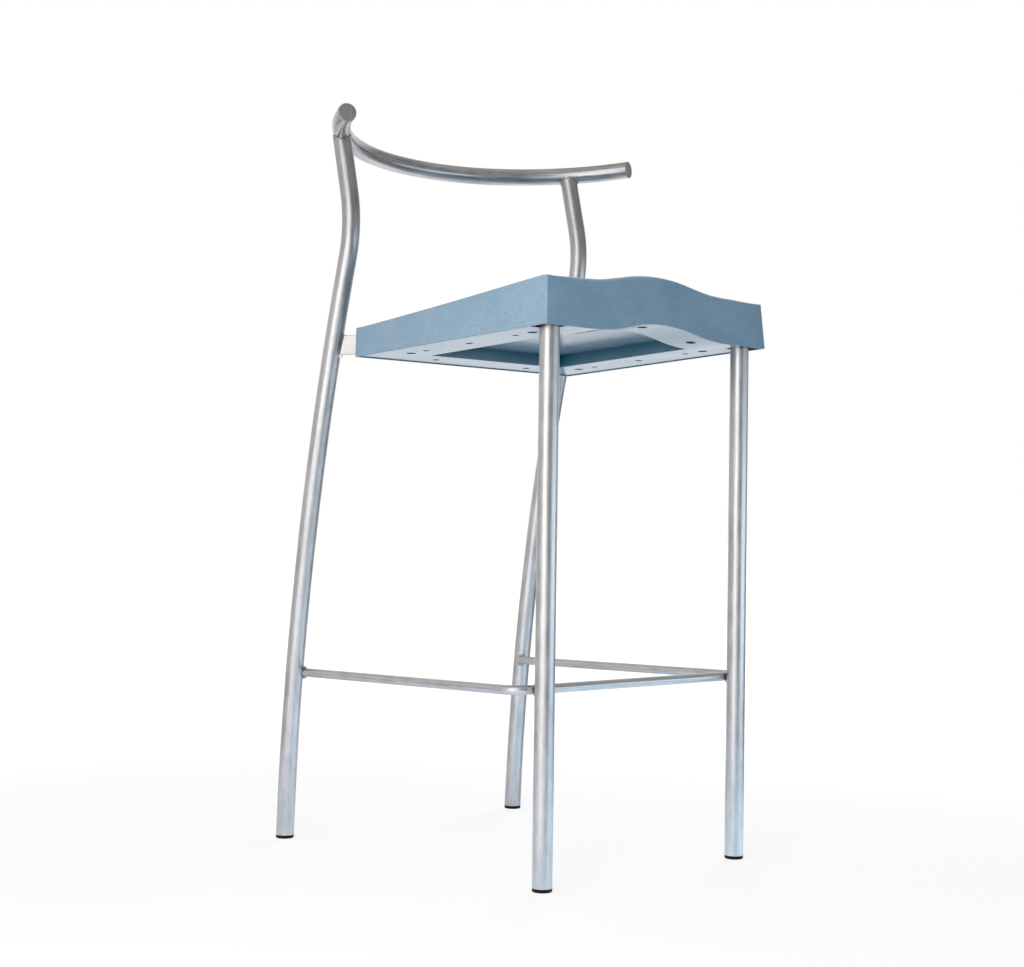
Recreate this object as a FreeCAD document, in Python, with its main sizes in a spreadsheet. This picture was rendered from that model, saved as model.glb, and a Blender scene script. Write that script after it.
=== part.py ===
import FreeCAD, Part
import math
import os

import Sketcher

# Bar stool: welded tube frame with a curved back rail, a bent-rod footrest and a hollow moulded seat.
# Frame: X to the right seen from the front, Y towards the back, Z up, origin on the floor under the middle.

doc = FreeCAD.newDocument("bar_stool")
vector = FreeCAD.Vector

# Driving dimensions in millimetres and degrees.
DIMENSIONS = (
    ("tube_diameter", 25.0),
    ("tube_wall", 1.5),
    ("fit_gap", 0.3),
    ("glide_height", 4.5),
    ("glide_plug", 10.0),
    ("front_leg_inset", 27.1),
    ("front_leg_top", 722.0),
    ("rear_leg_outset", 11.9),
    ("foot_depth", 491.0),
    ("rear_foot_lean", 2.4),
    ("rear_leg_radius", 3540.0),
    ("knee_drop", 174.6),
    ("bend_radius", 175.0),
    ("back_lean", 13.8),
    ("rail_height", 979.9),
    ("rail_radius", 287.0),
    ("rail_half_angle", 66.9),
    ("rail_tilt", 4.1),
    ("rail_forward", 1.5),
    ("rail_seat", 4.0),
    ("cap_thickness", 2.0),
    ("cap_plug", 12.0),
    ("rod_diameter", 12.0),
    ("footrest_height", 243.0),
    ("footrest_fall", 10.0),
    ("footrest_outset", 27.5),
    ("footrest_bend", 25.0),
    ("rod_butt", 9.5),
    ("rod_setback", 7.0),
    ("seat_width", 405.2),
    ("seat_depth", 385.3),
    ("seat_overhang", 22.75),
    ("seat_front_height", 747.4),
    ("seat_rear_height", 708.7),
    ("skirt_front", 60.0),
    ("skirt_rear", 38.65),
    ("side_draft", 4.1),
    ("seat_wall", 3.0),
    ("seat_corner", 2.5),
    ("pan_thickness", 3.5),
    ("hump_height", 15.2),
    ("hump_half_width", 130.0),
    ("front_swell", 4.8),
    ("dish_depth", 12.0),
    ("hump_run", 231.0),
    ("roll_depth", 6.0),
    ("roll_length", 14.0),
    ("roll_fade", 45.0),
    ("base_thickness", 3.0),
    ("base_inset", 1.0),
    ("base_recess", 17.0),
    ("opening_width", 240.0),
    ("margin_front", 70.6),
    ("margin_rear", 65.0),
    ("pocket_clearance", 1.5),
    ("bar_height", 26.5),
    ("bar_thickness", 5.0),
    ("bar_lift", 0.7),
    ("bar_crank", 21.0),
    ("weld_size", 3.0),
    ("weld_length", 14.0),
    ("bar_bead", 4.5),
    ("rail_bead", 1.2),
    ("side_hole_inset", 45.0),
    ("side_hole_reach", 122.0),
    ("side_dimple_reach", 90.0),
    ("front_hole_reach", 92.0),
    ("rear_hole_reach", 85.0),
    ("screw_cup_large", 13.0),
    ("screw_cup_small", 10.0),
    ("cup_depth", 8.0),
    ("cup_wall", 2.0),
    ("screw_large", 6.0),
    ("screw_small", 4.5),
    ("screw_length", 14.0),
    ("head_large", 11.0),
    ("head_small", 8.0),
    ("head_height", 4.0),
    ("dimple_diameter", 8.5),
    ("dimple_depth", 1.2),
)

sheet = doc.addObject("Spreadsheet::Sheet", "dims")
for row, (name, value) in enumerate(DIMENSIONS, start=1):
    sheet.set("A%d" % row, name)
    sheet.set("B%d" % row, str(value))
    sheet.setAlias("B%d" % row, name)
doc.recompute()


def dim(name):
    return float(sheet.get(name))


SIDES = (("left", -1), ("right", 1))
UPRIGHT = FreeCAD.Rotation()
WORLD = FreeCAD.Placement()

# Places that several pieces share.
tube_r = dim("tube_diameter") / 2
rod_r = dim("rod_diameter") / 2
seat_half = dim("seat_width") / 2
front_leg_x = seat_half - dim("front_leg_inset")
rear_leg_x = seat_half + dim("rear_leg_outset")
front_leg_y = (dim("seat_overhang") - dim("foot_depth") - tube_r) / 2
rear_foot_y = front_leg_y + dim("foot_depth")
seat_front_y = front_leg_y - dim("seat_overhang")
seat_low_front = dim("seat_front_height") - dim("skirt_front")
seat_low_rear = dim("seat_rear_height") - dim("skirt_rear")
seat_slope = math.degrees(math.atan2(seat_low_front - seat_low_rear, dim("seat_depth")))
seat_fall = dim("seat_front_height") - dim("seat_rear_height")
seat_tilt = (seat_slope + math.degrees(math.atan2(seat_fall, dim("seat_depth")))) / 2
seat_top_half = seat_half - dim("skirt_front") * math.tan(math.radians(dim("side_draft")))
seat_top_front_y = seat_front_y + dim("skirt_front") * math.tan(math.radians(seat_tilt))

# The seat's underside has its own frame: origin at the front lower edge, local Y back along the underside.
seat_corner_point = vector(0, seat_front_y, seat_low_front)
seat_frame = FreeCAD.Placement(seat_corner_point, FreeCAD.Rotation(vector(1, 0, 0), -seat_slope))


# Helpers that add one bound object each.
def bind(item, expressions):
    for prop, expression in expressions.items():
        item.setExpression(prop, expression)
    return item


def box(name, length, width, height, corner, frame=WORLD):
    item = doc.addObject("Part::Box", name)
    bind(item, {"Length": length, "Width": width, "Height": height})
    item.Placement = frame.multiply(FreeCAD.Placement(vector(*corner), UPRIGHT))
    return item


def cylinder(name, radius, height, base, frame=WORLD, rotation=UPRIGHT):
    item = doc.addObject("Part::Cylinder", name)
    bind(item, {"Radius": radius, "Height": height})
    item.Placement = frame.multiply(FreeCAD.Placement(vector(*base), rotation))
    return item


def rounded_disc(name, radius, height, base, rounding, frame=WORLD):
    """A disc whose rim is rounded at the base end."""
    disc = cylinder(name + "_disc", radius, height, base, frame)
    rounded = doc.addObject("Part::Fillet", name + "_rounded")
    rounded.Base = disc
    doc.recompute()
    rims = [(n, edge) for n, edge in enumerate(disc.Shape.Edges, start=1) if edge.isClosed()]
    centre = disc.Placement.Base
    at_base = [n for n, edge in rims if edge.Curve.Center.distanceToPoint(centre) < 0.001]
    rounded.Edges = [(n, rounding, rounding) for n in at_base]
    return rounded


def bar_through(name, radius, point, direction):
    """A round bar two tubes long with its middle at a point, for cutting what lies against it."""
    along = FreeCAD.Rotation(vector(0, 0, 1), direction)
    base = point - along.multVec(vector(0, 0, dim("tube_diameter")))
    return cylinder(name, radius, "2 * dims.tube_diameter", base, WORLD, along)


def bead(name, centre, direction, free_side, length, width):
    """A weld bead before trimming: an ellipsoid along a groove, with its seam on the free side."""
    item = doc.addObject("Part::Ellipsoid", name)
    bind(item, {"Radius1": length, "Radius2": width, "Radius3": width})
    rotation = FreeCAD.Rotation(free_side, direction.cross(free_side), direction, "ZXY")
    item.Placement = FreeCAD.Placement(centre, rotation)
    return item


def cut(name, base, *tools):
    item = base
    for number, tool in enumerate(tools, start=1):
        step = doc.addObject("Part::Cut", name if number == len(tools) else "%s_cut_%d" % (name, number))
        step.Base = item
        step.Tool = tool
        item = step
    return item


def fuse(name, *shapes):
    item = doc.addObject("Part::MultiFuse", name)
    item.Shapes = list(shapes)
    return item


def common(name, first, second):
    item = doc.addObject("Part::Common", name)
    item.Base = first
    item.Tool = second
    return item


def group(name, *shapes):
    item = doc.addObject("Part::Compound", name)
    item.Links = list(shapes)
    return item


def sweep(name, radius, path, start, rotation):
    """A round bar along a path, begun with a circle at the path's first point."""
    circle = doc.addObject("Part::Circle", name + "_section")
    bind(circle, {"Radius": radius})
    circle.Placement = FreeCAD.Placement(start, rotation)
    item = doc.addObject("Part::Sweep", name)
    item.Sections = [circle]
    item.Spine = (path, ["Edge%d" % (n + 1) for n in range(len(path.Shape.Edges))])
    item.Solid = True
    item.Frenet = False
    return item


def hold(sketch, name, expression, *constraint):
    """Adds a named sketch constraint and binds its value."""
    index = sketch.addConstraint(Sketcher.Constraint(*constraint))
    sketch.renameConstraint(index, name)
    sketch.setExpression("Constraints." + name, expression)


# Rear legs: a slow forward arc, one bend, and a straight upright that leans back.
def rear_leg_leans():
    """The centre line's lean at the foot, at the start of the bend and in the upright."""
    foot, back = math.radians(dim("rear_foot_lean")), math.radians(dim("back_lean"))
    rise = dim("rail_height") - dim("knee_drop") - dim("glide_height")
    return foot, math.asin(math.sin(foot) + rise / dim("rear_leg_radius")), back


def rear_leg_points():
    """Plan of the leg's centre line in the Y-Z plane: arc centres and joints."""
    lean, top_lean, back = rear_leg_leans()
    radius, bend = dim("rear_leg_radius"), dim("bend_radius")
    foot = vector(rear_foot_y, dim("glide_height"), 0)
    arc_centre = foot - vector(math.cos(lean), math.sin(lean), 0) * radius
    bend_start = arc_centre + vector(math.cos(top_lean), math.sin(top_lean), 0) * radius
    bend_centre = bend_start + vector(math.cos(top_lean), math.sin(top_lean), 0) * bend
    bend_end = bend_centre + vector(-math.cos(back), math.sin(back), 0) * bend
    rise = dim("rail_height") - dim("rail_seat") - bend_end.y
    top = bend_end + vector(rise * math.tan(back), rise, 0)
    return foot, arc_centre, bend_centre, bend_end, top


def rear_leg_y(height):
    """Y of the lower leg's centre line at a height."""
    foot, arc_centre, *_ = rear_leg_points()
    return arc_centre.x + math.sqrt(dim("rear_leg_radius") ** 2 - (height - arc_centre.y) ** 2)


def rear_leg_direction(height):
    """Direction of the lower leg's centre line at a height."""
    foot, arc_centre, *_ = rear_leg_points()
    rise = height - arc_centre.y
    return vector(0, -rise, math.sqrt(dim("rear_leg_radius") ** 2 - rise ** 2)).normalize()


SIDE_PLANE = FreeCAD.Rotation(vector(1, 1, 1), 120)


def rear_leg_path(name, side):
    foot, arc_centre, bend_centre, bend_end, top = rear_leg_points()
    lean, top_lean, back = rear_leg_leans()
    path = doc.addObject("Sketcher::SketchObject", name)
    path.Placement = FreeCAD.Placement(vector(side * rear_leg_x, 0, 0), SIDE_PLANE)
    normal = vector(0, 0, 1)
    lower_circle = Part.Circle(arc_centre, normal, dim("rear_leg_radius"))
    bend_circle = Part.Circle(bend_centre, normal, dim("bend_radius"))
    path.addGeometry(Part.ArcOfCircle(lower_circle, lean, top_lean))
    path.addGeometry(Part.ArcOfCircle(bend_circle, math.pi - back, math.pi + top_lean))
    path.addGeometry(Part.LineSegment(bend_end, top))
    path.addConstraint(Sketcher.Constraint("Tangent", 0, 2, 1, 2))
    path.addConstraint(Sketcher.Constraint("Tangent", 1, 1, 2, 1))
    foot_y = "dims.foot_depth + (dims.seat_overhang - dims.foot_depth - dims.tube_diameter / 2) / 2"
    hold(path, "foot_place", foot_y, "DistanceX", 0, 1, foot.x)
    hold(path, "foot_level", "dims.glide_height", "DistanceY", 0, 1, foot.y)
    hold(path, "sweep_radius", "dims.rear_leg_radius", "Radius", 0, dim("rear_leg_radius"))
    hold(path, "bend_radius", "dims.bend_radius", "Radius", 1, dim("bend_radius"))
    radius = dim("rear_leg_radius")
    start_rise = "dims.rear_leg_radius * sin(dims.rear_foot_lean)"
    end_rise = start_rise + " + dims.rail_height - dims.knee_drop - dims.glide_height"
    hold(path, "start_rise", start_rise, "DistanceY", 0, 3, 0, 1, radius * math.sin(lean))
    hold(path, "end_rise", end_rise, "DistanceY", 0, 3, 0, 2, radius * math.sin(top_lean))
    hold(path, "back_angle", "90 deg - dims.back_lean * 1 deg", "Angle", 2, math.pi / 2 - back)
    hold(path, "top_level", "dims.rail_height - dims.rail_seat", "DistanceY", 2, 2, top.y)
    return path


# Back rail: an arc of tube in a plane that falls towards the back, a little forward of the uprights' axes.
def rail_placement():
    top = rear_leg_points()[-1] + vector(-dim("rail_forward"), dim("rail_seat"), 0)
    tilt = math.radians(dim("rail_tilt"))
    reach = math.sqrt(dim("rail_radius") ** 2 - rear_leg_x ** 2)
    centre = vector(0, top.x - reach * math.cos(tilt), top.y + reach * math.sin(tilt))
    return FreeCAD.Placement(centre, FreeCAD.Rotation(vector(1, 0, 0), -dim("rail_tilt")))


def origin_feature(body, role):
    return next(item for item in body.Origin.OriginFeatures if item.Role == role)


def rail_arc(name, radii):
    """One arc of round bar or tube about the rail's own vertical axis."""
    body = doc.addObject("PartDesign::Body", name)
    section = body.newObject("Sketcher::SketchObject", name + "_section")
    section.AttachmentSupport = [(origin_feature(body, "YZ_Plane"), "")]
    section.MapMode = "FlatFace"
    centre = vector(dim("rail_radius"), 0, 0)
    for number, (expression, radius) in enumerate(radii):
        section.addGeometry(Part.Circle(centre, vector(0, 0, 1), radius))
        section.addConstraint(Sketcher.Constraint("PointOnObject", number, 3, -1))
        hold(section, "reach_%d" % number, "dims.rail_radius", "DistanceX", number, 3, centre.x)
        hold(section, "radius_%d" % number, expression, "Radius", number, radius)
    turn = body.newObject("PartDesign::Revolution", name + "_turn")
    turn.Profile = section
    turn.ReferenceAxis = (origin_feature(body, "Z_Axis"), [""])
    turn.Midplane = True
    bind(turn, {"Angle": "2 * dims.rail_half_angle"})
    body.Placement = rail_placement()
    return body


TUBE_R = "dims.tube_diameter / 2"
BORE_R = "dims.tube_diameter / 2 - dims.tube_wall"
TUBE_GAP_R = "dims.tube_diameter / 2 + dims.fit_gap"
TUBE_BEAD_R = "dims.tube_diameter / 2 + dims.rail_bead"
ROD_GAP_R = "dims.rod_diameter / 2 + dims.fit_gap"
tube_bore = tube_r - dim("tube_wall")

back_rail = rail_arc("back_rail", ((TUBE_R, tube_r), (BORE_R, tube_bore)))
rail_clearance = rail_arc("rail_clearance", ((TUBE_GAP_R, tube_r + dim("fit_gap")),))
rail_bead_reach = rail_arc("rail_bead_reach", ((TUBE_BEAD_R, tube_r + dim("rail_bead")),))


def rail_cap(name, side):
    """A disc with a well rounded rim, flush with the tube, on a plug that fits in the rail's open end."""
    angle = math.radians(90 - side * dim("rail_half_angle"))
    end = vector(math.cos(angle), math.sin(angle), 0) * dim("rail_radius")
    inward = vector(-math.sin(angle), math.cos(angle), 0) * side
    at_end = FreeCAD.Placement(end, FreeCAD.Rotation(vector(0, 0, 1), inward))
    frame = rail_placement().multiply(at_end)
    thickness = dim("cap_thickness")
    disc = rounded_disc(name, TUBE_R, "dims.cap_thickness", (0, 0, -thickness), thickness * 0.75, frame)
    plug = cylinder(name + "_plug", BORE_R + " - dims.fit_gap", "dims.cap_plug", (0, 0, 0), frame)
    return fuse(name, disc, plug)


# Frame pieces, left and right.
front_legs, rear_legs, rail_caps, foot_glides, rail_welds = [], [], [], [], []


def front_leg(side_name, side):
    name = "front_leg_" + side_name
    height = "dims.front_leg_top - dims.glide_height"
    base = (side * front_leg_x, front_leg_y, dim("glide_height"))
    outside = cylinder(name + "_outside", TUBE_R, height, base)
    bore = cylinder(name + "_bore", BORE_R, height, base)
    return cut(name, outside, bore)


def rear_leg(side_name, side):
    """A bent tube whose top is coped to the rail."""
    name = "rear_leg_" + side_name
    path = rear_leg_path(name + "_path", side)
    doc.recompute()
    foot = vector(side * rear_leg_x, rear_foot_y, dim("glide_height"))
    outside = sweep(name + "_outside", TUBE_R, path, foot, UPRIGHT)
    bore = sweep(name + "_bore", BORE_R, path, foot, UPRIGHT)
    return cut(name, outside, bore, rail_clearance)


def rail_weld(side_name, side):
    """A bead that follows the saddle between upright and rail."""
    name = "rail_weld_" + side_name
    top = rear_leg_points()[-1]
    back = math.radians(dim("back_lean"))
    point = vector(side * rear_leg_x, top.x, top.y - dim("tube_diameter"))
    point.y -= dim("tube_diameter") * math.tan(back)
    direction = vector(0, math.sin(back), math.cos(back))
    collar = bar_through(name + "_collar", TUBE_BEAD_R, point, direction)
    upright = bar_through(name + "_upright", TUBE_R + " + dims.fit_gap / 3", point, direction)
    return cut(name, common(name + "_bead", collar, rail_bead_reach), upright, rail_clearance)


def foot_glide(name, x, y):
    """A round-edged disc under the tube with a plug in its bore."""
    disc = rounded_disc(name, TUBE_R, "dims.glide_height", (x, y, 0), dim("glide_height") / 3)
    plug_r = BORE_R + " - 2 * dims.fit_gap"
    plug = cylinder(name + "_plug", plug_r, "dims.glide_plug", (x, y, dim("glide_height")))
    return fuse(name, disc, plug)


for side_name, side in SIDES:
    front_legs.append(front_leg(side_name, side))
    rear_legs.append(rear_leg(side_name, side))
    rail_caps.append(rail_cap("back_rail_cap_" + side_name, side))
    rail_welds.append(rail_weld(side_name, side))
    foot_glides.append(foot_glide("foot_glide_front_" + side_name, side * front_leg_x, front_leg_y))
    foot_glides.append(foot_glide("foot_glide_rear_" + side_name, side * rear_leg_x, rear_foot_y))

back_rail_welds = group("back_rail_welds", *rail_welds)

# Footrest: one rod bent to a U that lies behind the front legs and butts on the rear legs' inner flanks.
footrest_y = front_leg_y + tube_r + rod_r + dim("fit_gap")
footrest_rear_z = dim("footrest_height") - dim("footrest_fall")
footrest_rear_y = rear_leg_y(footrest_rear_z)
footrest_rear_x = rear_leg_x - dim("rod_butt")
footrest_run = math.hypot(footrest_rear_y - footrest_y, dim("footrest_fall"))
footrest_frame = FreeCAD.Placement(
    vector(0, footrest_y, dim("footrest_height")),
    FreeCAD.Rotation(vector(1, 0, 0), -math.degrees(math.asin(dim("footrest_fall") / footrest_run))),
)


def footrest_path():
    half = front_leg_x + dim("footrest_outset")
    bend = dim("footrest_bend")
    length = footrest_run - dim("rod_setback")
    tail = half + (footrest_rear_x - half) * length / footrest_run
    turn = math.atan2(length, tail - half)
    setback = bend * math.tan(turn / 2)
    path = doc.addObject("Sketcher::SketchObject", "footrest_path")
    path.Placement = footrest_frame
    normal = vector(0, 0, 1)
    straight = half - setback
    along = vector(math.cos(turn), math.sin(turn), 0)
    down = 1.5 * math.pi
    join = vector(half, 0, 0) + along * setback

    def mirrored(point):
        return vector(-point.x, point.y, 0)

    centre = vector(straight, bend, 0)
    path.addGeometry(Part.LineSegment(vector(-tail, length, 0), mirrored(join)))
    path.addGeometry(Part.ArcOfCircle(Part.Circle(mirrored(centre), normal, bend), down - turn, down))
    path.addGeometry(Part.LineSegment(vector(-straight, 0, 0), vector(straight, 0, 0)))
    path.addGeometry(Part.ArcOfCircle(Part.Circle(centre, normal, bend), down, down + turn))
    path.addGeometry(Part.LineSegment(join, vector(tail, length, 0)))
    apex = path.addGeometry(Part.Point(vector(half, 0, 0)), True)
    path.addConstraint(Sketcher.Constraint("Tangent", 0, 2, 1, 1))
    path.addConstraint(Sketcher.Constraint("Tangent", 1, 2, 2, 1))
    path.addConstraint(Sketcher.Constraint("Tangent", 2, 2, 3, 1))
    path.addConstraint(Sketcher.Constraint("Tangent", 3, 2, 4, 1))
    path.addConstraint(Sketcher.Constraint("Symmetric", 2, 1, 2, 2, -2))
    path.addConstraint(Sketcher.Constraint("PointOnObject", 2, 2, -1))
    path.addConstraint(Sketcher.Constraint("Equal", 1, 3))
    path.addConstraint(Sketcher.Constraint("PointOnObject", apex, 1, -1))
    path.addConstraint(Sketcher.Constraint("PointOnObject", apex, 1, 4))
    path.addConstraint(Sketcher.Constraint("Symmetric", 0, 1, 4, 2, -2))
    hold(path, "bend", "dims.footrest_bend", "Radius", 3, bend)
    front_half = "dims.seat_width / 2 - dims.front_leg_inset + dims.footrest_outset"
    hold(path, "front_half", front_half, "DistanceX", apex, 1, half)
    path.addConstraint(Sketcher.Constraint("DistanceX", 4, 2, tail))
    path.addConstraint(Sketcher.Constraint("DistanceY", 4, 2, length))
    return path, vector(-tail, length, 0), along


path, tail_point, along = footrest_path()
doc.recompute()
tail_direction = footrest_frame.Rotation.multVec(vector(along.x, -along.y, 0))
footrest_blank = sweep(
    "footrest_blank",
    "dims.rod_diameter / 2",
    path,
    footrest_frame.multVec(tail_point),
    FreeCAD.Rotation(vector(0, 0, 1), tail_direction),
)


def footrest_weld(name, spot, leg, rod, direction):
    """Beads over and under the rod at a spot on a leg's surface."""
    beads = []
    for label, way in (("low", -1), ("high", 1)):
        bead_name = "%s_%s" % (name, label)
        outward = vector(0, 0, way)
        centre = spot + outward * rod_r
        half_length = "dims.weld_length / 2"
        blank = bead(bead_name + "_blank", centre, direction, outward, half_length, "dims.weld_size")
        beads.append(cut(bead_name, blank, rod, leg))
    return beads


footrest_beads, footrest_copes = [], []
leg_run = rear_leg_direction(footrest_rear_z)
butt_depth = math.sqrt(tube_r ** 2 - dim("rod_butt") ** 2)
for side_name, side in SIDES:
    name = "front_weld_" + side_name
    front_leg_point = vector(side * front_leg_x, front_leg_y, dim("footrest_height"))
    rod_point = vector(side * front_leg_x, footrest_y, dim("footrest_height"))
    leg = bar_through(name + "_leg", TUBE_GAP_R, front_leg_point, vector(0, 0, 1))
    rod = bar_through(name + "_rod", ROD_GAP_R, rod_point, vector(1, 0, 0))
    spot = front_leg_point + vector(0, tube_r, 0)
    footrest_beads += footrest_weld(name, spot, leg, rod, vector(1, 0, 0))

    name = "rear_weld_" + side_name
    rear_leg_point = vector(side * rear_leg_x, footrest_rear_y, footrest_rear_z)
    rod_point = vector(side * footrest_rear_x, footrest_rear_y, footrest_rear_z)
    side_run = footrest_frame.Rotation.multVec(vector(side * along.x, along.y, 0))
    leg = bar_through(name + "_leg", TUBE_GAP_R, rear_leg_point, leg_run)
    rod = bar_through(name + "_rod", ROD_GAP_R, rod_point, side_run)
    spot = rod_point - vector(0, butt_depth, 0)
    footrest_beads += footrest_weld(name, spot, leg, rod, side_run)
    footrest_copes.append(leg)

footrest_rod = cut("footrest_rod", footrest_blank, *footrest_copes)
footrest_welds = group("footrest_welds", *footrest_beads)

# Seat bars: flat bars on edge, in line with the front legs and cranked outward to the rear legs.
bar_low = dim("base_inset") + dim("base_thickness") + dim("bar_lift")
bar_middle = bar_low + dim("bar_height") / 2
bar_start_y = dim("seat_overhang") + tube_r + dim("fit_gap")
bar_knee = vector(front_leg_x, dim("seat_depth") - dim("bar_crank"), 0)


def bar_end_point():
    """Where the bar's middle line, which slopes with the underside, meets the rear leg's centre line."""
    back = dim("seat_depth")
    for _ in range(4):
        point = seat_frame.multVec(vector(rear_leg_x, back, bar_middle))
        back += rear_leg_y(point.z) - point.y
    return point


bar_end_z = bar_end_point().z
bar_end = seat_frame.inverse().multVec(bar_end_point())
bar_end.z = 0


def bar_run(name, side, start, finish, gaps):
    """A straight run of bar on edge between two points of its plan, grown by a number of fit gaps."""
    reach = vector(side * (finish.x - start.x), finish.y - start.y, 0)
    item = doc.addObject("Part::Box", name)
    bind(item, {"Width": "dims.bar_thickness + %d * dims.fit_gap" % (2 * gaps)})
    bind(item, {"Height": "dims.bar_height + %d * dims.fit_gap" % (2 * gaps)})
    item.Length = reach.Length
    turn = FreeCAD.Rotation(vector(0, 0, 1), math.degrees(math.atan2(reach.y, reach.x)))
    grow = gaps * dim("fit_gap")
    at_start = FreeCAD.Placement(vector(side * start.x, start.y, bar_low - grow), turn)
    middle = FreeCAD.Placement(vector(0, -dim("bar_thickness") / 2 - grow, 0), UPRIGHT)
    item.Placement = seat_frame.multiply(at_start).multiply(middle)
    return item


def bar_strip(name, side, start_y, gaps):
    """The bent bar in the seat's frame, or with one fit gap the space that it needs."""
    radius = "dims.bar_thickness / 2 + %d * dims.fit_gap" % gaps
    height = "dims.bar_height + %d * dims.fit_gap" % (2 * gaps)
    knee_base = (side * bar_knee.x, bar_knee.y, bar_low - gaps * dim("fit_gap"))
    straight = bar_run(name + "_straight", side, vector(front_leg_x, start_y, 0), bar_knee, gaps)
    knee = cylinder(name + "_knee", radius, height, knee_base, seat_frame)
    crank = bar_run(name + "_crank", side, bar_knee, bar_end, gaps)
    return fuse(name, straight, knee, crank)


def bar_weld(name, side, toward, strip, leg):
    """Fillets in the corners over and under a bar's end on a leg, across the bar's edge."""
    beads = []
    up = vector(0, 0, 1)
    across = toward.cross(up)
    for label, way in (("low", -1), ("high", 1)):
        bead_name = "%s_%s" % (name, label)
        rise = way * (dim("bar_height") / 2 - dim("fit_gap"))
        reach = tube_r + toward.y * (rear_leg_y(bar_end_z + rise) - rear_leg_y(bar_end_z))
        corner = vector(side * bar_end.x, bar_end.y, bar_middle + rise) + toward * reach
        blank = doc.addObject("Part::Prism", bead_name + "_blank")
        blank.Polygon = 4
        bind(blank, {"Circumradius": "dims.bar_bead", "Height": "0.9 * dims.bar_thickness"})
        base = corner - across * (0.45 * dim("bar_thickness"))
        square = FreeCAD.Rotation(toward, up, across, "ZXY")
        blank.Placement = seat_frame.multiply(FreeCAD.Placement(base, square))
        beads.append(cut(bead_name, blank, strip, leg))
    return beads


seat_bars, bar_slots, bar_beads, leg_clearances = [], [], [], []
WELD_GAP_R = "dims.tube_diameter / 2 + dims.bar_bead + dims.fit_gap"
for side_name, side in SIDES:
    strip = bar_strip("seat_strip_" + side_name, side, bar_start_y, 0)
    leg_point = vector(side * rear_leg_x, rear_leg_y(bar_end_z), bar_end_z)
    leg_way = rear_leg_direction(bar_end_z)
    leg = bar_through("bar_leg_" + side_name, TUBE_GAP_R, leg_point, leg_way)
    leg_clearances.append(bar_through("leg_clearance_" + side_name, WELD_GAP_R, leg_point, leg_way))
    seat_bars.append(cut("seat_bar_" + side_name, strip, leg))
    bar_slots.append(bar_strip("bar_slot_" + side_name, side, dim("seat_overhang"), 1))
    toward = vector(side * (bar_knee.x - bar_end.x), bar_knee.y - bar_end.y, 0).normalize()
    bar_beads += bar_weld("bar_weld_" + side_name, side, toward, strip, leg)
seat_bar_welds = group("seat_bar_welds", *bar_beads)


# Seat surface: side edges are straight, the front edge has a hump, the middle is dished.
def hump(x):
    """Height of the front hump: three tangent arcs of one radius."""
    half, height = dim("hump_half_width"), dim("hump_height")
    radius = (half ** 2 + height ** 2) / (4 * height)
    away = abs(x)
    if away >= half:
        return 0.0
    if away >= half / 2:
        return radius - math.sqrt(radius ** 2 - (half - away) ** 2)
    return height - radius + math.sqrt(radius ** 2 - away ** 2)


def seat_top(x, back):
    """Height of the sitting surface at a distance behind its front edge."""
    share = min(max(back / dim("seat_depth"), 0.0), 1.0)
    edge = dim("seat_front_height") + (dim("seat_rear_height") - dim("seat_front_height")) * share
    fade = math.cos(min(max(back, 0.0) / dim("hump_run"), 1.0) * math.pi / 2) ** 2
    across = max(1 - (x / seat_top_half) ** 2, 0.0)
    dish = dim("dish_depth") * across * math.sin(math.pi * share) ** 1.5
    soft = min(max((seat_top_half - abs(x)) / dim("roll_fade"), 0.0), 1.0)
    near = max(1 - back / dim("roll_length"), 0.0)
    rise = (hump(x) + dim("front_swell") * soft) * fade
    return edge + rise - dish - dim("roll_depth") * soft * near ** 2


def seat_surface_solid(name, drop):
    """The space above the sitting surface, lowered by a given amount, as a cutting block."""
    across = [1.04 * seat_half * (n / 9 - 1) for n in range(19)]
    near_front = [dim("roll_length") * (0.28 * n - 0.5) for n in range(7)]
    behind = [dim("seat_depth") * (0.096 * n + 0.08) for n in range(11)]
    along = near_front + behind
    poles = [[vector(x, seat_top_front_y + s, seat_top(x, s) - drop) for s in along] for x in across]
    surface = Part.BSplineSurface()
    knots_x = list(range(len(across) - 2))
    knots_y = list(range(len(along) - 2))
    clamp_x = [4] + [1] * (len(knots_x) - 2) + [4]
    clamp_y = [4] + [1] * (len(knots_y) - 2) + [4]
    surface.buildFromPolesMultsKnots(poles, clamp_x, clamp_y, knots_x, knots_y, False, False, 3, 3)
    item = doc.addObject("Part::Feature", name)
    item.Shape = surface.toShape().extrude(vector(0, 0, 2 * dim("skirt_front")))
    return item


def drafted_block(name, shrink):
    """The seat's outside without top or underside: it leans with the seat, and its sides flare downward."""
    item = doc.addObject("Part::Wedge", name)
    low_half = "(dims.seat_width / 2 + dims.skirt_front * tan(dims.side_draft) - %s)" % shrink
    high_half = "(dims.seat_width / 2 - 2 * dims.skirt_front * tan(dims.side_draft) - %s)" % shrink
    bind(item, {"Ymin": "-dims.skirt_front", "Ymax": "2 * dims.skirt_front"})
    bind(item, {"Xmin": "-" + low_half, "Xmax": low_half, "X2min": "-" + high_half, "X2max": high_half})
    for rear, front in (("Zmin", "Zmax"), ("Z2min", "Z2max")):
        bind(item, {rear: "%s - dims.seat_depth" % shrink, front: "-(%s)" % shrink})
    item.Placement = FreeCAD.Placement(seat_corner_point, FreeCAD.Rotation(vector(1, 0, 0), 90 - seat_tilt))
    return item


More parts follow.
